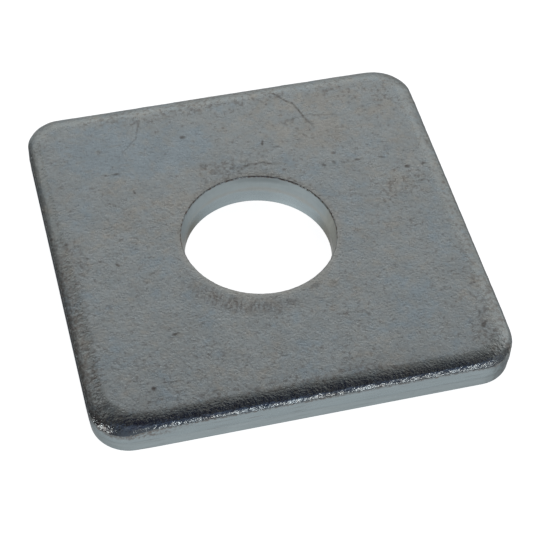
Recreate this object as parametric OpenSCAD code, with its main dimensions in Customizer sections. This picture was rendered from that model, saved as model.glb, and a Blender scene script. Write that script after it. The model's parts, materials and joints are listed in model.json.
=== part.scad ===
// Square plate washer, blanked and punched from steel plate.
// The outline is sheared with its die roll on the upper face. The hole is punched from below, so its
// own roll is on the lower face and its torn zone opens out at the upper face.
// The origin is the middle of the lower face, with +Z up.

/* [Plate] */
// Length of each side
side = 60; // [50:1:120]
// Thickness from face to face
thickness = 5.2; // [4.5:0.1:10]
// Radius of the four corners, seen from above
corner_radius = 5.4; // [4:0.1:12]

/* [Sheared outline] */
// How far the die roll reaches in from the edge, on the upper face
roll_width = 3.3; // [2:0.1:3.9]
// How far the die roll drops below the upper face
roll_depth = 0.9; // [0.6:0.05:1.6]
// How far the rounded nose between roll and wall reaches to both sides of its edge
roll_nose = 0.25; // [0.1:0.05:0.6]
// Height of the torn zone above the lower face
break_height = 2; // [1:0.1:2.6]
// How far the torn zone is set in at the lower face
break_inset = 0.25; // [0.05:0.05:0.6]

/* [Punched hole] */
// Diameter of the hole at its sheared land
hole_diameter = 21.6; // [8:0.1:30]
// How far the hole sits off the middle along X
hole_shift_x = -0.25; // [-1:0.05:1]
// How far the hole sits off the middle along Y
hole_shift_y = 0.1; // [-1:0.05:1]
// How far the roll round the hole reaches out, on the lower face
hole_roll_width = 1.8; // [0.8:0.1:2.4]
// How far the roll round the hole rises above the lower face
hole_roll_depth = 0.45; // [0.3:0.05:0.8]
// How far the rounded nose between that roll and the hole's land reaches to both sides of its edge
hole_roll_nose = 0.15; // [0.05:0.01:0.25]
// Depth of the hole's torn zone below the upper face
hole_break_depth = 2.6; // [1:0.1:3.4]
// How far the hole's torn zone opens out at the upper face, on the radius
hole_break_flare = 0.5; // [0.05:0.05:0.8]

/* [Hidden] */
$fn = 96;
zinc_colour = [0.46, 0.48, 0.49];
// Flat margin left round the hole's roll, where the punched rim joins the plate
rim_margin = 1;
// Run-out of every cut past the surface that it opens
run_out = 1;
// Angle at which arcs meet their neighbours, in degrees, so that no two surfaces are tangent
crease = 4;
hole_radius = hole_diameter / 2;
rim_radius = hole_radius + hole_roll_width + rim_margin;
straight = side - 2 * corner_radius;

// Sizes of a section are rounded to a thousandth, so that bars and corners share the same points.
function rounded(value) = round(1000 * value) / 1000;
function rounded_point(point) = [for (value = point) rounded(value)];
function unit(angle) = [cos(angle), sin(angle)];

// What a roll takes off the upper outer corner of a section, with that corner at the origin.
// The wide arc runs down from the face at -width to the wall at -depth. The nose arc takes off the
// edge that is left there, as far as nose to both sides. Each arc meets its neighbours at the crease.
module roll_cut(width, depth, nose) {
    chord_slope = atan(depth / width);
    wide_radius = rounded(norm([width, depth]) / 2 / sin(chord_slope - crease));
    wide_centre = rounded_point([-width, 0] - wide_radius * unit(90 - crease));
    edge = [0, -depth];
    turn = 90 - (2 * chord_slope - crease);
    nose_half = turn / 2 - crease;
    nose_radius = rounded(nose * cos(turn / 2) / sin(nose_half));
    nose_chord = edge + nose / 2 * (unit(90 + turn) - [0, 1]);
    nose_centre = rounded_point(nose_chord - nose_radius * cos(nose_half) * unit(turn / 2));
    nose_reach = nose + nose_radius * sin(crease);
    difference() {
        translate([wide_centre.x, edge.y - run_out])
            square([run_out - wide_centre.x, 2 * run_out - edge.y]);
        translate(wide_centre) circle(wide_radius);
    }
    difference() {
        polygon([
            rounded_point(edge + nose_reach * unit(90 + turn)),
            rounded_point(edge + nose_reach * unit(-90)),
            rounded_point(edge + run_out * unit(turn / 2))
        ]);
        translate(nose_centre) circle(nose_radius);
    }
}

// Section from an inner line at x = 0 out to an edge at x = reach, rolled over at its upper outer end.
// It is sheared straight below the roll, and then torn and set in down to y = 0.
module sheared_section(reach, width, depth, nose, torn_height, torn_inset) {
    difference() {
        polygon([
            [0, 0],
            [reach - torn_inset, 0],
            [reach, torn_height],
            [reach, thickness],
            [0, thickness]
        ]);
        translate([reach, thickness]) roll_cut(width, depth, nose);
    }
}

module edge_section(reach) {
    sheared_section(reach, roll_width, roll_depth, roll_nose, break_height, break_inset);
}

// A straight bar along Y, with a sheared edge on both of its sides
module bar() {
    rotate([90, 0, 0])
        linear_extrude(straight, center = true) {
            edge_section(side / 2);
            mirror([1, 0]) edge_section(side / 2);
        }
}

module corner() {
    translate([straight / 2, straight / 2, 0])
        rotate_extrude(angle = 90) edge_section(corner_radius);
}

module blank() {
    bar();
    rotate([0, 0, 90]) bar();
    for (quarter = [0:3])
        rotate([0, 0, 90 * quarter]) corner();
}

// Ring of plate round the hole: the same sheared section upside down, facing the axis
module punched_rim() {
    rotate_extrude()
        translate([rim_radius, thickness])
            rotate(180)
                sheared_section(rim_radius - hole_radius, hole_roll_width, hole_roll_depth,
                    hole_roll_nose, hole_break_depth, hole_break_flare);
}

module washer() {
    color(zinc_colour) {
        difference() {
            blank();
            translate([hole_shift_x, hole_shift_y, -run_out])
                cylinder(h = thickness + 2 * run_out, r = rim_radius);
        }
        translate([hole_shift_x, hole_shift_y, 0]) punched_rim();
    }
}

washer();
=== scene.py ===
"""Square plate washer: a blanked and punched steel plate with a cloudy zinc finish, on a white floor."""

import json
import math

import bpy
import numpy as np
from mathutils import Matrix, Vector, noise


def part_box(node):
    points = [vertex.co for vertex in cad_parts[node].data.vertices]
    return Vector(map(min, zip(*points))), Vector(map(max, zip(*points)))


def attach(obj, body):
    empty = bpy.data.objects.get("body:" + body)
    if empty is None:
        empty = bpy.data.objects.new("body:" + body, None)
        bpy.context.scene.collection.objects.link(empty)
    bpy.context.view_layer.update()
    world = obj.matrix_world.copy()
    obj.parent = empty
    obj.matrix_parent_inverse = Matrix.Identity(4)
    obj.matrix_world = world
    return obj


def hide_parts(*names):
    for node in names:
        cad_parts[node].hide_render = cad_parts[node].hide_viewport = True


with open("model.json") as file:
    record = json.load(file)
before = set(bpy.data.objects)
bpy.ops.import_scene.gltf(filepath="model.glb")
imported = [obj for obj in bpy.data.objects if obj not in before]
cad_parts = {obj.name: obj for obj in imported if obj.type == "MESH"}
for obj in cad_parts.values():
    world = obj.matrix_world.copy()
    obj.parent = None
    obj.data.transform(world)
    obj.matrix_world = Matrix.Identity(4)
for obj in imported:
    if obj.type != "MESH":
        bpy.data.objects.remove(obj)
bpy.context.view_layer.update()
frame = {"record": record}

# Units and sizes taken from the frame, in millimetres
MM = 0.001
LOW, HIGH = (np.array(corner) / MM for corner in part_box("washer"))
HALF_SIDE = (HIGH[0] - LOW[0]) / 2
THICKNESS = HIGH[2] - LOW[2]
BORE = next(m for m in frame["record"]["mounts"] if m["name"] == "bolt_hole")
HOLE_CENTRE = np.array(BORE["pos_m"][:2]) / MM
HOLE_RADIUS = BORE["dims"]["r_mm"]

# Sizes of the sheared outline, in millimetres
CORNER_RADIUS = 5.4
ROLL_WIDTH = 2.85
ROLL_DEPTH = 0.92
# How far from the front and left edges the upper face begins to sag, how much it has sagged there,
# and how squarely the sag follows the corner between them
SAG_WIDTH = 6.5
SAG_DEPTH = 0.17
SAG_POWER = 8
# Slope of the die roll where its nose begins, and where it ends in a crease above the wall
ROLL_MEET = math.radians(20)
ROLL_END = math.radians(55)
# The left side's roll is flatter at its end, by this angle
LEFT_FLATTER = math.radians(13)
# How much shallower and narrower the left side's roll gets towards the rear
LEFT_SHALLOWER = 0.18
LEFT_NARROWER = 0.8
# Where the left side's own form fades in, by the leftward part of the outward direction, and where its
# rear form does, by the place along the side
LEFT_FADE = (0.8, 1.0)
REAR_FADE = (-10.0, 18.0)
# Inset of the sheared wall at its top and at its foot, which keeps its waves inside the plate's sides
LAND_INSET = 0.016
LAND_FOOT = 0.03
# Height where the torn zone begins, and how far the wall is set in at its foot
BREAK_HEIGHT = 2.0
BREAK_INSET = 0.16
# How much the front wall's foot is set in more at its right end, and less at its left end
FOOT_SKEW = 0.1
LOWER_EDGE = 0.12
# Extra depth of the die roll in the four corners: right rear, left rear, left front, right front
CORNER_DEEPER = (0.24, -0.08, 0.85, 0.4)
# Extra width of the die roll for each millimetre of extra depth
CORNER_WIDER = 1.2
# How much the wall's foot is set in more at the same four corners
CORNER_FOOT = (0.0, 0.0, 0.2, 0.0)
# How far a corner's own form reaches from the corner's middle, as a share of its arc
CORNER_REACH = 0.9

# Sizes of the punched hole, in millimetres
HOLE_ROLL_WIDTH = 1.8
HOLE_ROLL_DEPTH = 0.45
HOLE_ROLL_MEET = math.radians(18)
HOLE_BREAK_DEPTH = 2.6
HOLE_BREAK_FLARE = 0.5
HOLE_LAND_CLEAR = 0.004
RIM_EDGE = 0.14
RIM_FALL = 0.035
RIM_FALL_WIDTH = 0.8
# Slopes of the hole's roll between which it turns from face to wall
HOLE_WALL_FADE = (math.radians(40), math.radians(80))

# Waves of the uneven surfaces: size and height in millimetres, and each wave's own seed
FACE_WAVES = ((9.0, 0.008, 1),)
NOSE_WAVES = ((1.6, 0.045, 3), (0.6, 0.03, 4))
DENT_WAVES = ((2.4, 0.03, 20),)
BREAK_WAVES = ((3.5, 0.16, 8), (0.9, 0.08, 9))
LAND_WAVES = ((0.35, 0.006, 10),)
TORN_WAVES = ((0.5, 0.014, 11), (0.22, 0.008, 12))
RIM_WAVES = ((1.4, 0.025, 13), (0.45, 0.03, 14))
HOLE_BREAK_WAVES = ((2.8, 0.14, 15), (0.8, 0.06, 16))
HOLE_TORN_WAVES = ((0.7, 0.03, 17), (0.3, 0.015, 18))
HOLE_LAND_WAVES = ((0.4, 0.004, 19),)
# The roll's own sway, of height 1, and how much of it goes to the roll's depth and width
SWAY_WAVES = ((9.0, 1.0, 2),)
SWAY_DEPTH = 0.03
SWAY_WIDTH = 0.1
# Pits in the roll: their mean depth, and waves with heights as shares of it
PIT_DEPTH = 0.016
PIT_WAVES = ((0.8, 0.7, 6), (0.42, 0.5, 7))
# Mean depth of the torn wall's pits, and of the upper face below the plate's full thickness
TORN_DEPTH = 0.022
FACE_CLEAR = 0.008
# Leans of the roll, from 0 at the face to 1 at a full crease, between which the dents fade in, and the
# power of the lean by which the nose's waves do
DENT_FADE = (0.0, 0.3)
NOSE_POWER = 4

# How far each seed moves a wave's noise along the three axes
SEED_STEPS = (17.3, 5.7, 11.9)

# Number of columns round the sheared outline; the faces and the hole have half as many
COLUMNS = 1440
# Rows of points: steps in each arc of a roll, shares of the way through a zone, or angles round an edge
ROLL_STEPS = 11
LAND_ROWS = (0.012, 0.1, 0.16, 0.3, 0.5, 0.7, 0.88, 1.0)
TORN_ROWS = (0.06, 0.2, 0.4, 0.6, 0.8, 1.0)
EDGE_ROWS = np.radians((30.0, 60.0, 90.0))
FACE_ROWS = np.linspace(0.96, 0.0, 18) ** 1.3
RIM_ROWS = np.radians((12.0, 30.0, 50.0, 75.0))
HOLE_TORN_ROWS = (0.05, 0.2, 0.4, 0.6, 0.8, 0.96)
HOLE_LAND_ROWS = (0.0, 0.35, 0.7)
HOLE_ROLL_STEPS = 6
LOWER_ROWS = (0.08, 0.25, 0.45, 0.65, 0.82, 0.94)
# Marks that every point carries for the material, those of the hole's rounded rim, and the share of the
# sheared wall, from its top, that is marked as the seam
MARKS = ("roll", "wall", "torn", "seam")
RIM_MARKS = {"roll": 0.3, "wall": 0.5, "torn": 0.5, "seam": 1.8}
SEAM_SHARE = 0.15

# The photograph's camera
PICTURE_WIDTH = 540
FOCAL_PIXELS = 1893.1
SENSOR = 36.0
CAMERA_PLACE = (-47.11, -175.72, 210.75)
CAMERA_AZIMUTH = -15.49
CAMERA_ELEVATION = 49.59
CAMERA_ROLL = -2.02
# Nearest and farthest view in metres
CAMERA_CLIP = (0.01, 20)


# Outline and rows of points

def outline(columns):
    """Points, outward normals and four corner weights round the plate, from the middle of +X."""
    straight = HALF_SIDE - CORNER_RADIUS
    arc = CORNER_RADIUS * math.pi / 2
    quarter = 2 * straight + arc
    travel = np.arange(columns) * 4 * quarter / columns
    turn = np.floor(travel / quarter).astype(int)
    along = travel - turn * quarter
    angle = np.clip((along - straight) / CORNER_RADIUS, 0, math.pi / 2)
    normal = np.stack([np.cos(angle), np.sin(angle)], 1)
    point = straight + CORNER_RADIUS * normal
    point[:, 1] -= np.clip(straight - along, 0, None)
    point[:, 0] -= np.clip(along - straight - arc, 0, None)
    spin = turn * math.pi / 2
    turned = [
        np.stack([np.cos(spin) * v[:, 0] - np.sin(spin) * v[:, 1],
                  np.sin(spin) * v[:, 0] + np.cos(spin) * v[:, 1]], 1)
        for v in (point, normal)
    ]
    reach = np.clip(np.abs(along - straight - arc / 2) / (arc * CORNER_REACH), 0, 1)
    weights = np.eye(4)[turn] * np.cos(reach * math.pi / 2)[:, None] ** 2
    return turned[0], turned[1], weights


def waves(points, rows):
    """Smooth noise at each point: the sum of waves, each with its size, height and seed."""
    result = np.zeros(len(points))
    for size, height, seed in rows:
        shift = Vector([seed * step for step in SEED_STEPS])
        result += height * np.array([noise.noise(Vector(p) / size + shift) for p in points])
    return result


def smooth(value, low, high):
    """A smooth step from 0 at low to 1 at high."""
    share = np.clip((value - low) / (high - low), 0, 1)
    return share * share * (3 - 2 * share)


def solid_points(flat, height):
    """Points in the plane with one height or an array of heights, as an array of three columns."""
    return np.column_stack([flat, np.broadcast_to(height, len(flat))])


def roll_profile(width, depth, meet, end, steps):
    """Inset, drop and slope down a roll of two arcs, one row for each step, for every column.

    The wide arc runs from the face to the slope called meet, and the nose goes on from there to the slope
    called end. Their radii follow from the width and the depth.
    """
    run, fall = math.sin(meet), 1 - math.cos(meet)
    nose_run, nose_fall = np.sin(end) - run, 1 - fall - np.cos(end)
    share = run * nose_fall - nose_run * fall
    wide = (width * nose_fall - depth * nose_run) / share
    nose = (run * depth - fall * width) / share
    rows = []
    for k in range(steps + 1):
        slope = np.full_like(end, meet * k / steps)
        rows.append((width - wide * np.sin(slope), wide * (1 - np.cos(slope)), slope))
    for k in range(1, steps + 1):
        slope = meet + (end - meet) * k / steps
        inset = nose * (np.sin(end) - np.sin(slope))
        rows.append((inset, depth - nose * (np.cos(slope) - np.cos(end)), slope))
    return rows


class Skin:
    """Collects rows of points round the plate, and the faces between them."""

    def __init__(self):
        self.points = []
        self.marks = []
        self.faces = []
        self.count = 0

    def row(self, flat, height, roll=0.0, wall=0.0, torn=0.0, seam=0.0):
        """Adds one closed row of points with their marks, and gives its point numbers."""
        size = len(flat)
        self.points.append(solid_points(flat, height))
        self.marks.append(np.column_stack([np.broadcast_to(v, size) for v in (roll, wall, torn, seam)]))
        numbers = np.arange(self.count, self.count + size)
        self.count += size
        return numbers

    def join(self, first, second):
        """Fills the strip between two rows, of which one may have twice the other's points."""
        if len(first) == len(second):
            strip = np.column_stack([first, np.roll(first, -1), np.roll(second, -1), second])
            self.faces += strip.tolist()
            return
        coarse, fine = (first, second) if len(first) < len(second) else (second, first)
        left, middle, right = fine[0::2], fine[1::2], np.roll(fine[0::2], -1)
        following = np.roll(coarse, -1)
        strips = [(coarse, left, middle), (coarse, middle, following), (following, middle, right)]
        for strip in strips:
            strip = strip[::-1] if coarse is first else strip
            self.faces += np.column_stack(strip).tolist()

    def build(self, name):
        """Makes the mesh object, with the marks as point attributes."""
        mesh = bpy.data.meshes.new(name)
        mesh.from_pydata((np.concatenate(self.points) * MM).tolist(), [], self.faces)
        for number, mark in enumerate(MARKS):
            layer = mesh.attributes.new(mark, "FLOAT", "POINT")
            layer.data.foreach_set("value", np.concatenate(self.marks)[:, number].astype(np.float32))
        mesh.shade_smooth()
        mesh.update()
        piece = bpy.data.objects.new(name, mesh)
        bpy.context.collection.objects.link(piece)
        return piece


# The plate's surface, row by row

def upper_face_height(flat):
    """Height of the upper face: a rolled plate is never quite flat, and it sags towards two edges."""
    reach = (np.clip(-flat, 0, None) ** SAG_POWER).sum(1) ** (1 / SAG_POWER)
    sag = SAG_DEPTH * np.clip((reach - HALF_SIDE) / SAG_WIDTH + 1, 0, None) ** 2
    return THICKNESS - FACE_CLEAR - waves(solid_points(flat, 0.0), FACE_WAVES) - sag


def add_edge(skin):
    """Adds the die roll from the upper face to its crease, and the wall from there to the lower face."""
    point, normal, weights = outline(COLUMNS)
    ring = solid_points(point, 0.0)

    # die roll, uneven along its length
    deeper = weights @ CORNER_DEEPER
    sway = waves(ring, SWAY_WAVES)
    left = smooth(-normal[:, 0], *LEFT_FADE)
    rear = left * smooth(point[:, 1], *REAR_FADE)
    depth = ROLL_DEPTH + deeper + SWAY_DEPTH * sway - LEFT_SHALLOWER * rear
    width = ROLL_WIDTH + CORNER_WIDER * deeper + SWAY_WIDTH * sway - LEFT_NARROWER * rear
    ragged = waves(ring, NOSE_WAVES)
    end = ROLL_END - LEFT_FLATTER * left
    roll_rows = []
    for inset, drop, slope in roll_profile(width, depth, ROLL_MEET, end, ROLL_STEPS):
        lean = np.sin(slope) / math.sin(ROLL_END)
        flat = point - normal * inset[:, None]
        spots = solid_points(flat, THICKNESS - drop)
        pit = PIT_DEPTH * lean * (1 + waves(spots, PIT_WAVES))
        dent = smooth(lean, *DENT_FADE) * waves(spots, DENT_WAVES)
        flat = flat - normal * (pit * np.sin(slope))[:, None]
        height = upper_face_height(flat) - drop - ragged * lean ** NOSE_POWER - pit * np.cos(slope) - dent
        roll_rows.append(skin.row(flat, height, roll=slope / (math.pi / 2)))

    # wall: sheared land with a seam at its top, torn zone, rounded lower edge
    land_top = skin.points[-1][:, 2]
    border = BREAK_HEIGHT + waves(ring, BREAK_WAVES)
    foot = BREAK_INSET + FOOT_SKEW * point[:, 0] / HALF_SIDE * np.clip(-normal[:, 1], 0, 1)
    foot = foot + weights @ CORNER_FOOT
    wall_rows = []
    for share in LAND_ROWS:
        height = land_top + (border - land_top) * share
        inset = LAND_INSET + waves(ring, LAND_WAVES) + (LAND_FOOT - LAND_INSET) * share
        seam = float(share < SEAM_SHARE)
        wall_rows.append(skin.row(point - normal * inset[:, None], height, wall=1.0, seam=seam))
    for share in TORN_ROWS:
        height = border * (1 - share) + LOWER_EDGE * share
        rough = TORN_DEPTH + waves(solid_points(point, height), TORN_WAVES)
        inset = LAND_FOOT + (foot - LAND_FOOT) * share + rough * (1 - share)
        wall_rows.append(skin.row(point - normal * inset[:, None], height, wall=1.0, torn=1.0))
    for lean in EDGE_ROWS:
        inset = foot + LOWER_EDGE * (1 - math.cos(lean))
        height = LOWER_EDGE * (1 - math.sin(lean))
        wall_rows.append(skin.row(point - normal * inset[:, None], height, wall=1.0, torn=1.0))
    return roll_rows, wall_rows


def hole_ring(angle, radius):
    """Points round the hole's axis, at one radius or at an array of radii."""
    return HOLE_CENTRE + np.column_stack([np.cos(angle), np.sin(angle)]) * np.reshape(radius, (-1, 1))


def add_hole(skin, inner_roll):
    """Adds the upper face from the roll in to the hole's rim, and the hole from there to the lower face."""
    spoke = inner_roll - HOLE_CENTRE
    angle = np.arctan2(spoke[:, 1], spoke[:, 0])
    reach = np.hypot(spoke[:, 0], spoke[:, 1])
    circle = solid_points(hole_ring(angle, HOLE_RADIUS), 0.0)
    rim = HOLE_RADIUS + HOLE_BREAK_FLARE + waves(circle, RIM_WAVES)
    face_rows = []
    for share in FACE_ROWS:
        radius = rim + RIM_EDGE + (reach - rim - RIM_EDGE) * share
        flat = hole_ring(angle, radius)
        fall = np.clip(1 - (radius - rim - RIM_EDGE) / RIM_FALL_WIDTH, 0, 1) ** 2
        face_rows.append(skin.row(flat, upper_face_height(flat) - RIM_FALL * fall))

    # rounded rim
    hole_rows = []
    rim_height = skin.points[-1][:, 2]
    for lean in RIM_ROWS:
        flat = hole_ring(angle, rim + RIM_EDGE * (1 - math.sin(lean)))
        height = rim_height - RIM_EDGE * (1 - math.cos(lean))
        hole_rows.append(skin.row(flat, height, **RIM_MARKS))

    # torn zone, whose pits fade out at both of its ends
    top = THICKNESS - RIM_EDGE - RIM_FALL
    border = THICKNESS - HOLE_BREAK_DEPTH + waves(circle, HOLE_BREAK_WAVES)
    for share in HOLE_TORN_ROWS:
        height = top + (border - top) * share
        spots = solid_points(hole_ring(angle, HOLE_RADIUS), height)
        rough = waves(spots, HOLE_TORN_WAVES) * 4 * share * (1 - share)
        radius = rim + (HOLE_RADIUS - rim) * share + rough
        hole_rows.append(skin.row(hole_ring(angle, radius), height, wall=1.0, torn=1.0))

    # sheared land, and the roll on the lower face
    for share in HOLE_LAND_ROWS:
        height = border + (HOLE_ROLL_DEPTH - border) * share
        radius = HOLE_RADIUS + HOLE_LAND_CLEAR + waves(circle, HOLE_LAND_WAVES)
        hole_rows.append(skin.row(hole_ring(angle, radius), height, wall=1.0))
    profile = roll_profile(HOLE_ROLL_WIDTH, HOLE_ROLL_DEPTH, HOLE_ROLL_MEET, math.pi / 2, HOLE_ROLL_STEPS)
    for inset, drop, slope in profile[::-1]:
        steep = smooth(slope, *HOLE_WALL_FADE)
        hole_rows.append(skin.row(hole_ring(angle, HOLE_RADIUS + inset), drop, wall=steep))
    return face_rows, hole_rows


def make_plate():
    """The whole plate as one closed skin."""
    skin = Skin()
    roll_rows, wall_rows = add_edge(skin)
    outer_edge = skin.points[-1][0::2, :2]
    inner_roll = skin.points[0][0::2, :2]
    face_rows, hole_rows = add_hole(skin, inner_roll)
    inner_edge = skin.points[-1][:, :2]
    lower_rows = [skin.row(inner_edge + (outer_edge - inner_edge) * share, 0.0) for share in LOWER_ROWS]
    rings = wall_rows[::-1] + roll_rows[::-1] + face_rows + hole_rows + lower_rows
    for first, second in zip(rings, rings[1:] + rings[:1]):
        skin.join(first, second)
    return skin.build("zinc_plate")


# Floor and camera

# Half of the floor's side, and how far the floor lies below the plate, in metres
FLOOR_HALF = 4.0
FLOOR_GAP = 0.00002


def make_floor():
    """A large flat floor just below the plate."""
    mesh = bpy.data.meshes.new("floor")
    corners = [(x * FLOOR_HALF, y * FLOOR_HALF, 0) for x, y in ((-1, -1), (1, -1), (1, 1), (-1, 1))]
    mesh.from_pydata(corners, [], [(0, 1, 2, 3)])
    floor = bpy.data.objects.new("floor", mesh)
    bpy.context.collection.objects.link(floor)
    floor.location.z = -FLOOR_GAP
    return floor


def make_camera():
    """The photograph's view."""
    azimuth = math.radians(CAMERA_AZIMUTH)
    elevation = math.radians(CAMERA_ELEVATION)
    back = Vector((
        math.sin(azimuth) * math.cos(elevation),
        -math.cos(azimuth) * math.cos(elevation),
        math.sin(elevation),
    ))
    right = Vector((0, 0, 1)).cross(back).normalized()
    up = back.cross(right)
    turn = Matrix((right, up, back)).transposed() @ Matrix.Rotation(-math.radians(CAMERA_ROLL), 3, "Z")
    data = bpy.data.cameras.new("camera")
    data.sensor_fit = "HORIZONTAL"
    data.sensor_width = SENSOR
    data.lens = FOCAL_PIXELS / PICTURE_WIDTH * SENSOR
    data.clip_start, data.clip_end = CAMERA_CLIP
    camera = bpy.data.objects.new("camera", data)
    camera.matrix_world = Matrix.Translation(Vector(CAMERA_PLACE) * MM) @ turn.to_4x4()
    bpy.context.collection.objects.link(camera)
    bpy.context.scene.camera = camera


# Shader nodes

def put(tree, kind, inputs=None, **settings):
    """Adds a node with its settings, and fills or links its inputs."""
    made = tree.nodes.new("ShaderNode" + kind)
    for name, value in settings.items():
        setattr(made, name, value)
    for key, value in (inputs or {}).items():
        if isinstance(value, bpy.types.NodeSocket):
            tree.links.new(value, made.inputs[key])
        else:
            made.inputs[key].default_value = value
    return made


def calc(tree, operation, *values, clamp=False):
    """A math node's result."""
    return put(tree, "Math", dict(enumerate(values)), operation=operation, use_clamp=clamp).outputs[0]


def vector(tree, operation, first, second):
    """A vector math node's result."""
    return put(tree, "VectorMath", {0: first, 1: second}, operation=operation).outputs[0]


def length(tree, first):
    """A vector's length."""
    return put(tree, "VectorMath", {0: first}, operation="LENGTH").outputs["Value"]


def scaled(tree, colour, factor):
    """A colour or a vector times a number."""
    return put(tree, "VectorMath", {0: colour, "Scale": factor}, operation="SCALE").outputs[0]


def times(tree, first, *others):
    """The product of several values."""
    for other in others:
        first = calc(tree, "MULTIPLY", first, other)
    return first


def total(tree, shares):
    """The sum of several values."""
    result = shares[0]
    for share in shares[1:]:
        result = calc(tree, "ADD", result, share)
    return result


def grain(tree, place, scale, detail=2.0, roughness=0.5, stretch=(1, 1, 1), shift=0.0):
    """Noise from 0 to 1 at a place in millimetres, with scale bumps to the millimetre."""
    moved = put(tree, "Mapping", {"Vector": place, "Scale": stretch, "Location": (shift, -shift, shift)})
    return put(tree, "TexNoise", {
        "Vector": moved.outputs[0], "Scale": scale, "Detail": detail, "Roughness": roughness,
    }).outputs["Fac"]


def span(tree, value, low, high, to_low=0.0, to_high=1.0):
    """A value's smooth step from low to high, as to_low to to_high."""
    return put(tree, "MapRange", {
        "Value": value, "From Min": low, "From Max": high, "To Min": to_low, "To Max": to_high,
    }, interpolation_type="SMOOTHSTEP").outputs[0]


def tint(tree, share, first, second):
    """Two colours mixed by a share."""
    made = put(tree, "Mix", {0: share}, data_type="RGBA")
    for socket, colour in ((made.inputs[6], first), (made.inputs[7], second)):
        if isinstance(colour, bpy.types.NodeSocket):
            tree.links.new(colour, socket)
        else:
            socket.default_value = (*colour, 1)
    return made.outputs[2]


# Reach of an oval upwards and downwards, in millimetres: so large that height makes no difference
ANY_HEIGHT = 1e6


def oval(tree, place, middle, reach, angle=0.0, core=0.2):
    """A soft oval on the plate, seen from above: 1 inside its core, and 0 at its reach and beyond."""
    local = put(tree, "Mapping", {
        "Vector": place,
        "Location": (*middle, 0),
        "Rotation": (0, 0, math.radians(angle)),
        "Scale": (*reach, ANY_HEIGHT),
    }, vector_type="TEXTURE").outputs[0]
    return span(tree, length(tree, local), 1.0, core)


# How far a mark fades out past its own length and width, the share of it that is full, and how far a
# stretch of a line runs past its points, in widths
MARK_FADE = 1.3
MARK_CORE = 0.35
LINE_OVERRUN = 3


def dash(tree, place, x, y, long, wide, angle, strength):
    """A short mark with pointed ends, long and wide from its middle."""
    reach = (MARK_FADE * long, MARK_FADE * wide)
    return times(tree, oval(tree, place, (x, y), reach, angle, MARK_CORE), strength)


def line(tree, place, points, wide, strength):
    """A thin mark along a few points."""
    parts = []
    for (x0, y0), (x1, y1) in zip(points, points[1:]):
        half = math.hypot(x1 - x0, y1 - y0) / 2 + LINE_OVERRUN * wide
        angle = math.degrees(math.atan2(y1 - y0, x1 - x0))
        parts.append(dash(tree, place, (x0 + x1) / 2, (y0 + y1) / 2, half, wide, angle, strength))
    return total(tree, parts)


# Zinc finish: colours

WALL = (0.256, 0.299, 0.311)
WALL_TORN = (0.280, 0.321, 0.330)
BORE_TORN = (0.262, 0.300, 0.308)
BORE_LINE = (0.275, 0.282, 0.268)
BORE_PAINTED_SHADE_BROWN = (0.165, 0.150, 0.115)
BORE_WARM = (0.285, 0.295, 0.270)
FACE = (0.323, 0.349, 0.349)
FACE_BLUE = (0.298, 0.346, 0.369)
FACE_WARM = (0.348, 0.350, 0.328)
BROWN = (0.115, 0.095, 0.085)
DARK = (0.085, 0.072, 0.064)
# Colour of the metal's mirroring at a flat angle
EDGE_TINT = (0.45, 0.45, 0.45, 1)
# Share of the faces' light that is scattered by the cloudy finish, and how much darker the bare roll
# and its nose are
MATTE = 0.45
ROLL_TONE = 0.8
NOSE_TONE = 0.64
# Values of the roll mark between which the matte finish fades in, the roll gets darker, and its nose does
MATTE_FADE = (0.08, 0.0)
ROLL_FADE = (0.0, 0.07)
NOSE_FADE = (0.32, 0.46)
# Heights between which a face counts as the upper one, and radii between which a wall is the bore's
UPPER_FADE = (2.0, 3.0)
BORE_FADE = (12.4, 11.8)

# Zinc finish: noises, with scale as bumps to the millimetre and a shift of its own for each
NOISES = {
    "mottle": {"scale": 1.2, "detail": 3.0, "roughness": 0.6, "shift": 10.0},
    "fine": {"scale": 3.0, "detail": 2.0, "roughness": 0.6, "shift": 15.0},
    "speck": {"scale": 1.6, "detail": 4.0, "roughness": 0.7, "shift": 20.0},
    "broad": {"scale": 0.35, "shift": 25.0},
    "stroke": {"scale": 2.0, "detail": 4.0, "roughness": 0.7, "stretch": (0.5, 1.4, 1), "shift": 30.0},
    "streak": {"scale": 0.6, "stretch": (0.35, 0.35, 3.5), "shift": 35.0},
    "cloud": {"scale": 0.16, "detail": 6.0, "roughness": 0.62, "shift": 40.0},
    "haze": {"scale": 0.6, "detail": 4.0, "roughness": 0.6, "shift": 45.0},
    "peel": {"scale": 3.2, "detail": 2.0, "roughness": 0.6, "shift": 50.0},
    "score": {"scale": 1.0, "stretch": (0.2, 0.2, 4.5), "shift": 55.0},
    "facet": {"scale": 1.8, "detail": 1.0, "shift": 60.0},
    "seam": {"scale": 1.8, "detail": 2.0, "roughness": 0.6, "shift": 65.0},
    "crowd": {"scale": 0.18, "shift": 70.0},
    "pepper": {"scale": 2.4, "detail": 2.0, "roughness": 0.6, "shift": 80.0},
    "grime": {"scale": 1.8, "detail": 3.0, "roughness": 0.65, "shift": 90.0},
}


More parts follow.
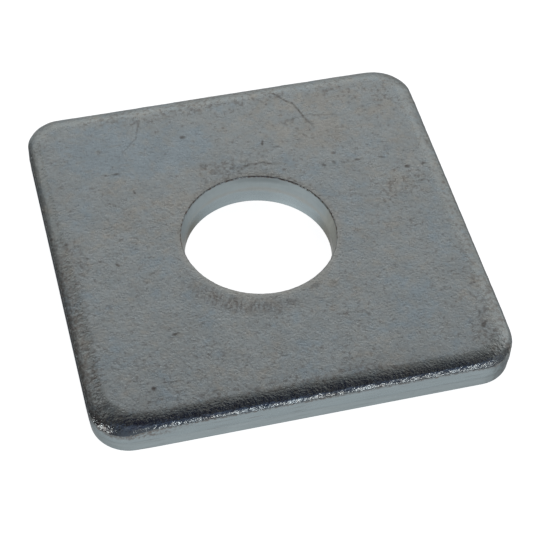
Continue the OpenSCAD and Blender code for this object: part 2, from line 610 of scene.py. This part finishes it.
class Surface:
    """Sockets that say where a point lies on the plate, shared by the steps of the finish."""

    def __init__(self, tree):
        self.tree = tree
        self.noises = {}
        self.place = scaled(tree, put(tree, "TexCoord").outputs["Object"], 1 / MM)
        self.x, self.y, self.z = put(tree, "SeparateXYZ", {0: self.place}).outputs
        self.roll, self.wall, self.torn, self.seam = (
            put(tree, "Attribute", attribute_name=name).outputs["Fac"] for name in MARKS
        )
        self.flat = calc(tree, "SUBTRACT", 1.0, self.wall, clamp=True)
        self.upper = times(tree, self.flat, span(tree, self.z, *UPPER_FADE))
        axis = vector(tree, "SUBTRACT", self.place, (*HOLE_CENTRE, 0))
        self.radius = length(tree, vector(tree, "MULTIPLY", axis, (1, 1, 0)))
        self.bore = times(tree, span(tree, self.radius, *BORE_FADE), self.wall)

    def noise(self, name):
        """One of the finish's noises, made once."""
        if name not in self.noises:
            self.noises[name] = grain(self.tree, self.place, **NOISES[name])
        return self.noises[name]

    def off_middle(self, name):
        """The same noise, counted from its middle."""
        return calc(self.tree, "SUBTRACT", self.noise(name), 0.5)


# Zinc finish: faces

# Broad patches on the upper face: middle, reach along X and Y in millimetres, bluish above 0 and warm below
PATCHES = (
    ((-15, 20.5), (15, 8), 0.8),
    ((13, 21), (19, 8), -0.5),
    ((-13, 5), (12, 8), -0.35),
    ((11, 4), (6, 11), 0.25),
    ((-1, -12), (10, 5), -0.5),
    ((18, -19), (9, 9), 0.15),
)
PATCH_CORE = 0.4
CLOUD_CONTRAST = 3.2
# Radii between which the face is warmer next to the hole, and how much
RIM_FADE = (12.6, 11.6)
RIM_WARMTH = 0.7


def face_lean(at):
    """How far the cloudy faces lean to bluish, above 0, or to warm, below 0."""
    tree = at.tree
    patches = [
        times(tree, oval(tree, at.place, middle, reach, core=PATCH_CORE), strength)
        for middle, reach, strength in PATCHES
    ]
    lean = calc(tree, "SUBTRACT", calc(tree, "ADD", at.noise("cloud"), at.noise("haze")), 1.0)
    lean = times(tree, lean, CLOUD_CONTRAST)
    return calc(tree, "MULTIPLY_ADD", total(tree, patches), at.upper, lean)


def face_colour(at, lean):
    """Cloudy colour of the faces, warmer next to the hole and darker on the bare roll and its nose."""
    tree = at.tree
    colour = tint(tree, span(tree, lean, 0.0, -1.0), FACE, FACE_WARM)
    colour = tint(tree, span(tree, lean, 0.0, 1.0), colour, FACE_BLUE)
    rim = times(tree, span(tree, at.radius, *RIM_FADE), at.upper, RIM_WARMTH)
    colour = tint(tree, rim, colour, FACE_WARM)
    colour = scaled(tree, colour, span(tree, at.roll, *ROLL_FADE, 1.0, ROLL_TONE))
    return scaled(tree, colour, span(tree, at.roll, *NOSE_FADE, 1.0, NOSE_TONE))


# Zinc finish: walls

# Warm line where the bore's land ends: height, how much it wavers, its fade to both sides and its strength
RIDGE_HEIGHT = THICKNESS - HOLE_BREAK_DEPTH + 0.35
RIDGE_WAVER = 2.0
RIDGE_FADE = (0.6, 0.1)
RIDGE_STRENGTH = 0.6
# Places along Y between which the bore's near part gets warm
BORE_NEAR = (4.0, 1.0)
# Painted shade, brownish, low in the bore, where it mirrors the shadowed floor in the hole: middle, reach
# along X and Y, and share, then the heights between which they fade in, and the strength of both
BORE_PAINTED_SHADES = (
    ((-10, 5), (6, 6), 1.0),
    ((10.8, 2.5), (3, 4), 0.5),
)
BORE_PAINTED_SHADE_FADE = (3.2, 1.2)
BORE_PAINTED_SHADE_STRENGTH = 0.75
# Painted light low in the bore, and painted shade high on its far side: middle, reach along X and Y,
# two heights, and the change at each
BORE_PAINTED_LIGHTS = (
    ((8.3, 6.5), (7, 7), (4.0, 1.5), (0.06, 0.2)),
    ((4, 10), (10, 7), (1.7, 0.7), (0.0, 0.12)),
    ((2.5, 10.8), (6, 6), (3.8, 4.6), (0.0, -0.25)),
)


def wall_colour(at):
    """Plainer colour of the walls: the outline's own, and the bore's with its line, painted shade and
    painted light.
    """
    tree = at.tree
    walls = tint(tree, at.torn, WALL, tint(tree, at.bore, WALL_TORN, BORE_TORN))
    ridge = calc(tree, "ABSOLUTE", calc(tree, "SUBTRACT", at.z, RIDGE_HEIGHT))
    ridge = calc(tree, "ADD", ridge, times(tree, at.off_middle("cloud"), RIDGE_WAVER))
    ridge = times(tree, span(tree, ridge, *RIDGE_FADE), at.bore, RIDGE_STRENGTH)
    walls = tint(tree, ridge, walls, BORE_LINE)
    walls = tint(tree, times(tree, span(tree, at.y, *BORE_NEAR), at.bore), walls, BORE_WARM)
    # painted shade: brownish darkening low in the bore, in place of the shadowed floor that it mirrors
    painted_shades = [
        times(tree, oval(tree, at.place, middle, reach), strength)
        for middle, reach, strength in BORE_PAINTED_SHADES
    ]
    painted_shade = times(tree, total(tree, painted_shades), span(tree, at.z, *BORE_PAINTED_SHADE_FADE), at.bore)
    walls = tint(tree, times(tree, painted_shade, BORE_PAINTED_SHADE_STRENGTH), walls, BORE_PAINTED_SHADE_BROWN)
    # painted light low in the bore, and painted shade high on its far side
    painted_lights = [
        times(tree, oval(tree, at.place, middle, reach), span(tree, at.z, *heights, *changes))
        for middle, reach, heights, changes in BORE_PAINTED_LIGHTS
    ]
    glow = times(tree, total(tree, painted_lights), at.bore)
    return scaled(tree, walls, calc(tree, "ADD", glow, 1.0))


# Zinc finish: tone

# Soft changes of brightness: noise, its limits, and the brightness at each
TONES = (
    ("mottle", (0.3, 0.7), (0.957, 1.043)),
    ("fine", (0.25, 0.75), (0.965, 1.035)),
    ("broad", (0.3, 0.7), (0.955, 1.045)),
)
# The walls' own: faint streaks, which take this share of the others' place
STREAKS = ("streak", (0.3, 0.7), (0.96, 1.04))
STREAK_SHARE = 0.75
# Brown scores along the outline's walls: limits of their noise, and strength
SCORE_FADE = (0.40, 0.32)
SCORE_STRENGTH = 0.3


def toned(at, colour):
    """The colour with soft changes of brightness, and with streaks and scores on the walls."""
    tree = at.tree
    *tones, streak = (
        span(tree, at.noise(name), *limits, *changes) for name, limits, changes in (*TONES, STREAKS)
    )
    share = times(tree, at.wall, STREAK_SHARE)
    tone = put(tree, "Mix", {0: share, 2: times(tree, *tones), 3: streak}, data_type="FLOAT").outputs[0]
    colour = scaled(tree, colour, tone)
    outer = calc(tree, "SUBTRACT", at.wall, at.bore)
    score = times(tree, span(tree, at.noise("score"), *SCORE_FADE), outer, SCORE_STRENGTH)
    return tint(tree, score, colour, BROWN)


# Zinc finish: specks and dirt

# Crowds of brown specks: middle, reach along X and Y
CROWDS = (
    ((-3, 27.5), (27, 2.6)),
    ((-3, 14), (7, 2.4)),
    ((24, 6), (7, 6)),
    ((25.8, -23.5), (2.6, 4.5)),
    ((25.5, 24.5), (3.5, 3)),
    ((20, 26.8), (9, 2.6)),
    ((-28.3, -10), (2.4, 22)),
    ((-27.3, 0), (2.8, 7)),
    ((-14, 27.2), (13, 2.2)),
    ((28.8, -3), (1.9, 26)),
    ((28.2, -18), (3.2, 11)),
    ((-2, -27.3), (34, 2.0)),
    ((-20, -26.8), (11, 2.4)),
)
# What moves the level below which specks show: loose crowding, the crowds above, and bluish parts
LOOSE_CROWDING = 0.2
CROWD_PULL = -0.07
BLUE_FADE = (0.2, 1.0)
BLUE_PUSH = 0.04
# Specks, and the finer ones between them: limits of the level or the noise, and strength
SPECK_FADE = (0.45, 0.32)
SPECK_STRENGTH = 0.48
PEPPER_FADE = (0.36, 0.26)
PEPPER_STRENGTH = 0.27
# Limits of the dirt's noise
GRIME_FADE = (0.60, 0.38)
# Dirt along the near part of the left edge: places across and along it where it fades in, and its strength
GRIME_ACROSS = (-26.6, -29.0)
GRIME_ALONG = (8.0, -6.0)
GRIME_STRENGTH = 0.55
# Dirt on the front corners' walls: middle and reach on the left, heights where it fades in under the roll,
# middle and reach on the right, how much weaker it is there, and the strength of both
CORNER_LEFT = ((-24, -29), (8, 5))
CORNER_LEFT_FADE = (2.4, 3.2)
CORNER_RIGHT = ((28, -28), (4.5, 5))
CORNER_RIGHT_SHARE = 0.5
CORNER_STRENGTH = 0.8


def specked(at, colour, lean):
    """The colour with brown specks, loose everywhere and denser in crowds, and with finer ones between."""
    tree = at.tree
    crowds = calc(tree, "MINIMUM", total(tree, [oval(tree, at.place, *crowd) for crowd in CROWDS]), 1.0)
    level = calc(tree, "MULTIPLY_ADD", at.off_middle("crowd"), LOOSE_CROWDING, at.noise("speck"))
    level = calc(tree, "MULTIPLY_ADD", times(tree, crowds, at.upper), CROWD_PULL, level)
    level = calc(tree, "ADD", level, span(tree, lean, *BLUE_FADE, 0.0, BLUE_PUSH))
    specks = times(tree, span(tree, level, *SPECK_FADE), at.flat, SPECK_STRENGTH)
    colour = tint(tree, specks, colour, BROWN)
    pepper = times(tree, span(tree, at.noise("pepper"), *PEPPER_FADE), at.flat, PEPPER_STRENGTH)
    return tint(tree, pepper, colour, BROWN)


def grimed(at, colour):
    """The colour with dirt along the left edge and on the walls of the front corners."""
    tree = at.tree
    side = times(tree, span(tree, at.x, *GRIME_ACROSS), span(tree, at.y, *GRIME_ALONG), at.upper)
    left = times(tree, oval(tree, at.place, *CORNER_LEFT), span(tree, at.z, *CORNER_LEFT_FADE))
    right = times(tree, oval(tree, at.place, *CORNER_RIGHT), CORNER_RIGHT_SHARE)
    corners = times(tree, calc(tree, "ADD", left, right), at.wall, CORNER_STRENGTH)
    dirt = calc(tree, "MULTIPLY_ADD", side, GRIME_STRENGTH, corners)
    return tint(tree, times(tree, dirt, span(tree, at.noise("grime"), *GRIME_FADE)), colour, BROWN)


# Zinc finish: marks and smudges

# Long marks on the upper face: points, half width, strength
LINES = (
    (((7.5, 28.3), (9.1, 27.3), (10, 25.9), (11.1, 24.8), (11.7, 23.3), (12, 22), (13, 19.4)), 0.19, 0.48),
    (((8.6, 21.1), (11.7, 22), (14, 21.7), (18.1, 20.9)), 0.14, 0.4),
    (((-16.1, 20.6), (-13.9, 22.8), (-12.9, 25.6)), 0.15, 0.38),
    (((0, 12.9), (1.3, 13.6), (3.2, 13.7), (5.6, 13.1)), 0.3, 0.4),
)
# Short marks: middle, length and width from the middle, angle from X in degrees, strength
DASHES = (
    (4.6, 17.7, 0.6, 0.22, 70, 0.9), (6.3, 16.5, 1.0, 0.15, -10, 0.5), (14.5, 13.3, 0.4, 0.3, 0, 0.7),
    (12.5, 11.2, 0.45, 0.3, -50, 0.8), (14.1, 11.4, 0.5, 0.28, -60, 0.7), (15.5, 11.1, 0.4, 0.3, 0, 0.6),
    (17.8, 11.2, 0.6, 0.22, 0, 0.6), (21.4, 10.9, 0.65, 0.22, -10, 0.6), (24.7, 8.2, 0.45, 0.32, 0, 0.8),
    (27.3, 8.3, 0.6, 0.22, 0, 0.7), (21.6, 5.6, 0.6, 0.2, 0, 0.5), (25.8, 5, 0.7, 0.2, -5, 0.55),
    (-18.1, 16.1, 0.7, 0.2, 0, 0.7), (-19.7, 16.2, 0.3, 0.24, 0, 0.7), (-16.2, 11.9, 0.5, 0.18, -80, 0.8),
    (-7, 21.4, 0.45, 0.32, 0, 0.7), (-5.3, 14.8, 0.8, 0.55, 45, 0.4), (-0.5, 13.7, 1, 0.6, 0, 0.3),
    (-28, 4, 0.7, 0.2, 15, 0.7), (-21.4, -1.4, 0.5, 0.22, -50, 0.75), (-15.8, -15.5, 0.65, 0.24, 5, 0.9),
    (-20.8, -24, 0.35, 0.28, 0, 0.8), (-18, -23.5, 1.8, 0.15, -6, 0.5), (-14, -20, 0.5, 0.22, -45, 0.5),
    (11.1, -18, 0.6, 0.24, -60, 0.6), (1.2, -13.4, 1.1, 0.6, -20, 0.45), (5.2, -11.3, 1, 0.5, 20, 0.4),
    (7.8, -11.6, 0.9, 0.6, 30, 0.25), (26.4, -21.4, 0.7, 0.22, 60, 0.7), (26.4, -23.4, 0.7, 0.35, 40, 0.6),
)
# How crooked the marks are: bends to the millimetre, their detail, and how far they move a mark
BEND_SCALE = 0.9
BEND_DETAIL = 2.0
BEND_SIZE = 0.5
# How the specks' noise breaks up the marks: its limits, and what is left of a mark at each
MARK_BREAKS = (0.66, 0.40, 0.45, 1.0)
# Ring of smudges round the hole's near side: radius, half width with its full part, and the oval that it
# stays in
SMUDGE_RADIUS = 13.8
SMUDGE_FADE = (2.1, 0.3)
SMUDGE_PLACE = ((-6, -11), (11.5, 9))
# Slant of the smudges' strokes, limits of their noise with the smudge left at each, and strength
SMUDGE_SLANT = math.radians(-65)
SMUDGE_BREAKS = (0.58, 0.42, 0.1, 1.0)
SMUDGE_STRENGTH = 0.62


def marked(at, colour):
    """The colour with marks on the upper face, a little crooked and broken up."""
    tree = at.tree
    bend = put(tree, "TexNoise", {"Vector": at.place, "Scale": BEND_SCALE, "Detail": BEND_DETAIL})
    bend = vector(tree, "SUBTRACT", bend.outputs["Color"], (0.5, 0.5, 0.5))
    crooked = vector(tree, "ADD", scaled(tree, bend, BEND_SIZE), at.place)
    lines = [line(tree, crooked, *mark) for mark in LINES]
    dashes = [dash(tree, crooked, *mark) for mark in DASHES]
    marks = times(tree, total(tree, lines + dashes), span(tree, at.noise("speck"), *MARK_BREAKS))
    return tint(tree, calc(tree, "MULTIPLY", marks, at.upper, clamp=True), colour, DARK)


def smudged(at, colour):
    """The colour with smudges round the near side of the hole, in short slanting strokes."""
    tree = at.tree
    slant = put(tree, "Mapping", {"Vector": at.place, "Rotation": (0, 0, SMUDGE_SLANT)}).outputs[0]
    strokes = span(tree, grain(tree, slant, **NOISES["stroke"]), *SMUDGE_BREAKS)
    ring = calc(tree, "ABSOLUTE", calc(tree, "SUBTRACT", at.radius, SMUDGE_RADIUS))
    ring = times(tree, span(tree, ring, *SMUDGE_FADE), at.upper, oval(tree, at.place, *SMUDGE_PLACE))
    return tint(tree, times(tree, ring, strokes, SMUDGE_STRENGTH), colour, BROWN)


# Zinc finish: polish and peel

# How the seam is broken up: limits of its noise, and the seam's strength at each
SEAM_BREAKS = (0.36, 0.6, 0.8, 0.0)
# Roughness by the mottling and how much smoother the roll gets by its mark, each as two limits and the
# value at each, and how much rougher the torn zones are
POLISH = (0.3, 0.7, 0.25, 0.32)
ROLL_POLISH = (0.03, 0.2, 0.0, 0.11)
TORN_ROUGHNESS = 0.06
# Height of the plating's peel on the faces, its change on the walls, and the mottling's share in it
PEEL_HEIGHT = 2.05
PEEL_WALL = -1.75
PEEL_MOTTLE = 0.5
# How the peel gets lower on the roll and towards the rear, and how high the nose's facets get on the roll
PEEL_ROLL = (0.15, 0.45, 1.0, 0.8)
PEEL_REAR = (2.0, 20.0, 1.0, 0.6)
FACET_ROLL = (0.02, 0.3, 0.0, 2.9)
# Size of one step of height, in metres
BUMP_STEP = 0.00003


def peel_height(at):
    """Height of the plating's peel, fine on the faces and pitted into small facets on the nose."""
    tree = at.tree
    peel = calc(tree, "ADD", at.noise("peel"), times(tree, at.noise("mottle"), PEEL_MOTTLE))
    peel = times(
        tree, peel,
        calc(tree, "MULTIPLY_ADD", at.wall, PEEL_WALL, PEEL_HEIGHT),
        span(tree, at.roll, *PEEL_ROLL),
        span(tree, at.y, *PEEL_REAR),
    )
    facet = times(tree, at.noise("facet"), span(tree, at.roll, *FACET_ROLL))
    return calc(tree, "ADD", peel, facet)


def zinc():
    """The cloudy zinc finish: colour, metal, polish and peel."""
    material = bpy.data.materials.new("zinc_plate")
    material.use_nodes = True
    tree = material.node_tree
    shader = tree.nodes["Principled BSDF"]
    shader.inputs["Specular IOR Level"].default_value = 0
    shader.inputs["Specular Tint"].default_value = EDGE_TINT
    at = Surface(tree)

    # colour, from the faces and walls to the brownish seam under the nose
    lean = face_lean(at)
    colour = tint(tree, at.wall, face_colour(at, lean), wall_colour(at))
    colour = toned(at, colour)
    colour = specked(at, colour, lean)
    colour = grimed(at, colour)
    colour = marked(at, colour)
    colour = smudged(at, colour)
    seam = times(tree, at.seam, span(tree, at.noise("seam"), *SEAM_BREAKS))
    colour = tint(tree, seam, colour, BROWN)
    tree.links.new(colour, shader.inputs["Base Color"])

    # the cloudy faces are partly matte, the rolled and sheared edges bare
    matte = times(tree, at.flat, span(tree, at.roll, *MATTE_FADE))
    tree.links.new(calc(tree, "MULTIPLY_ADD", matte, -MATTE, 1.0), shader.inputs["Metallic"])

    # the rolled edge is the smoothest, the torn zones the roughest
    polish = span(tree, at.noise("mottle"), *POLISH)
    polish = calc(tree, "SUBTRACT", polish, span(tree, at.roll, *ROLL_POLISH))
    polish = calc(tree, "ADD", polish, times(tree, at.torn, TORN_ROUGHNESS))
    tree.links.new(polish, shader.inputs["Roughness"])

    bump = put(tree, "Bump", {"Strength": 1.0, "Distance": BUMP_STEP, "Height": peel_height(at)})
    tree.links.new(bump.outputs[0], shader.inputs["Normal"])
    return material


# Floor and studio

FLOOR_GLOW = 0.88
FLOOR_GREY = (0.55, 0.55, 0.55, 1)
# Distances in metres between which the floor fades in reflections, and what is left of its glow
FLOOR_NEAR = 0.1
FLOOR_FAR = 0.4
FLOOR_LEFT = 0.25
# Shade on the floor along the plate's sides, in millimetres: place across, half width with its soft edge,
# where it starts and ends along the plate, and the share of light left there
SHADES = (
    (-30.2, (13, 4), (-26, -21), (31, 27), 0.0),
    (30.2, (6, 1), (-33, -29), (31, 27), 0.65),
)


def floor_white():
    """A white floor that glows a little for the camera and for reflections, and takes the shadow."""
    material = bpy.data.materials.new("floor_white")
    material.use_nodes = True
    tree = material.node_tree
    tree.nodes.remove(tree.nodes["Principled BSDF"])
    path = put(tree, "LightPath").outputs
    place = put(tree, "TexCoord").outputs["Object"]
    fade = span(tree, length(tree, place), FLOOR_NEAR, FLOOR_FAR, 1.0, FLOOR_LEFT)
    parts = put(tree, "SeparateXYZ", {0: scaled(tree, place, 1 / MM)}).outputs
    for across, half, start, end, level in SHADES:
        painted_shade = calc(tree, "ABSOLUTE", calc(tree, "SUBTRACT", parts["X"], across))
        painted_shade = times(tree, span(tree, painted_shade, *half), span(tree, parts["Y"], *start))
        painted_shade = times(tree, painted_shade, span(tree, parts["Y"], *end))
        fade = times(tree, fade, calc(tree, "MULTIPLY_ADD", painted_shade, level - 1, 1.0))
    shown = times(tree, path["Is Glossy Ray"], fade)
    seen = calc(tree, "ADD", path["Is Camera Ray"], shown, clamp=True)
    seen = calc(tree, "ADD", seen, path["Is Transmission Ray"], clamp=True)
    glow = put(tree, "Emission", {"Strength": times(tree, seen, FLOOR_GLOW)})
    paint = put(tree, "BsdfDiffuse", {"Color": FLOOR_GREY})
    both = put(tree, "AddShader", {0: glow.outputs[0], 1: paint.outputs[0]})
    tree.links.new(both.outputs[0], tree.nodes["Material Output"].inputs["Surface"])
    return material


# Direction of the middle of the dark ceiling
DARK_WAY = Vector((0.0, 0.045, 1.0)).normalized()
# Brightness of the studio by angle from there, in degrees: a dark ceiling over pale walls
STUDIO = (
    (0, 0.0), (10, 0.0), (14, 0.09), (18, 0.44), (21, 0.54), (27.5, 0.45), (33.5, 0.25),
    (38, 0.55), (43, 1.28), (50, 1.53), (58, 1.24), (66, 1.0), (90, 0.86),
)
# Bluish light of the dark room all round
ROOM = (0.012, 0.021, 0.06)
# Brightness of the studio's sides, by the sideways part of the direction
SIDES = (
    (-1, 0.1), (-0.75, 0.2), (-0.57, 0.43), (-0.4, 0.6), (-0.2, 0.72), (0, 0.87),
    (0.2, 1.0), (0.35, 0.87), (0.6, 0.76), (0.72, 0.79), (0.82, 1.15), (1, 1.2),
)
# Brightness of the studio from the camera's side to the far side, by the lengthways part of the direction
DEPTHS = ((-1, 0.1), (-0.15, 0.12), (0, 0.32), (0.12, 0.76), (0.25, 1.0))
# Colour of the room behind the camera, by the upward part of the direction
FRONT = (
    (-1, (0.5, 0.52, 0.58)), (0.42, (0.5, 0.52, 0.58)), (0.64, (0.33, 0.37, 0.45)),
    (0.82, (0.165, 0.21, 0.325)), (0.94, (0.04, 0.067, 0.15)), (1, (0.0, 0.0, 0.0)),
)
# Where that room fades in, by the lengthways and the sideways part of the direction
FRONT_NEAR = (-0.1, -0.45)
FRONT_ACROSS = (-1.0, -0.5)


def levels(tree, share, stops):
    """A colour ramp; stops are shares from 0 to 1 with their grey levels or colours."""
    ramp = put(tree, "ValToRGB", {"Fac": share})
    marks = ramp.color_ramp.elements
    for mark, (spot, level) in zip([marks[0], marks[1]] + [marks.new(0.5) for _ in stops[2:]], stops):
        mark.position = spot
        mark.color = (*np.broadcast_to(level, 3), 1)
    return ramp.outputs[0]


def by_part(tree, part, stops):
    """A colour ramp by one part of a direction, which goes from -1 to 1."""
    share = calc(tree, "MULTIPLY_ADD", part, 0.5, 0.5)
    return levels(tree, share, [(0.5 + spot / 2, level) for spot, level in stops])


def studio():
    """The world's light: a dark ceiling over pale walls, and a dim room behind the camera."""
    world = bpy.data.worlds.new("studio")
    bpy.context.scene.world = world
    world.use_nodes = True
    tree = world.node_tree
    way = put(tree, "TexCoord").outputs["Generated"]
    off = put(tree, "VectorMath", {0: way, 1: DARK_WAY}, operation="DOT_PRODUCT").outputs["Value"]
    off = calc(tree, "DIVIDE", calc(tree, "ARCCOSINE", off), math.pi)
    ceiling = levels(tree, off, [(angle / 180, level) for angle, level in STUDIO])
    parts = put(tree, "SeparateXYZ", {0: way}).outputs
    sides = by_part(tree, parts["X"], SIDES)
    depths = by_part(tree, parts["Y"], DEPTHS)
    light = scaled(tree, ceiling, times(tree, sides, depths))
    front = by_part(tree, parts["Z"], FRONT)
    behind = times(tree, span(tree, parts["Y"], *FRONT_NEAR), span(tree, parts["X"], *FRONT_ACROSS))
    light = vector(tree, "MAXIMUM", light, scaled(tree, front, behind))
    light = vector(tree, "MAXIMUM", light, ROOM)
    tree.links.new(light, tree.nodes["Background"].inputs["Color"])


# Strip lights low on the camera's side: name, place, width, height (all in millimetres), power in watts
STRIPS = (
    ("front_strip", (120, -520, 330), 150, 60, 0.28),
    ("right_strip", (330, -420, 316), 160, 34, 0.15),
    ("left_strip", (-560, -180, 195), 180, 60, 0.44),
)


def strip_lights():
    """Small area lights that face the plate, for the glints on its nose."""
    for name, place, width, height, power in STRIPS:
        data = bpy.data.lights.new(name, "AREA")
        data.shape = "RECTANGLE"
        data.size = width * MM
        data.size_y = height * MM
        data.energy = power
        light = bpy.data.objects.new(name, data)
        spot = Vector(place) * MM
        light.location = spot
        light.rotation_euler = spot.to_track_quat("Z", "Y").to_euler()
        bpy.context.collection.objects.link(light)


plate = make_plate()
plate.data.materials.append(zinc())
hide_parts("washer")
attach(plate, "root")
floor = make_floor()
floor.data.materials.append(floor_white())
make_camera()
studio()
strip_lights()
bpy.context.scene.view_settings.view_transform = "Standard"
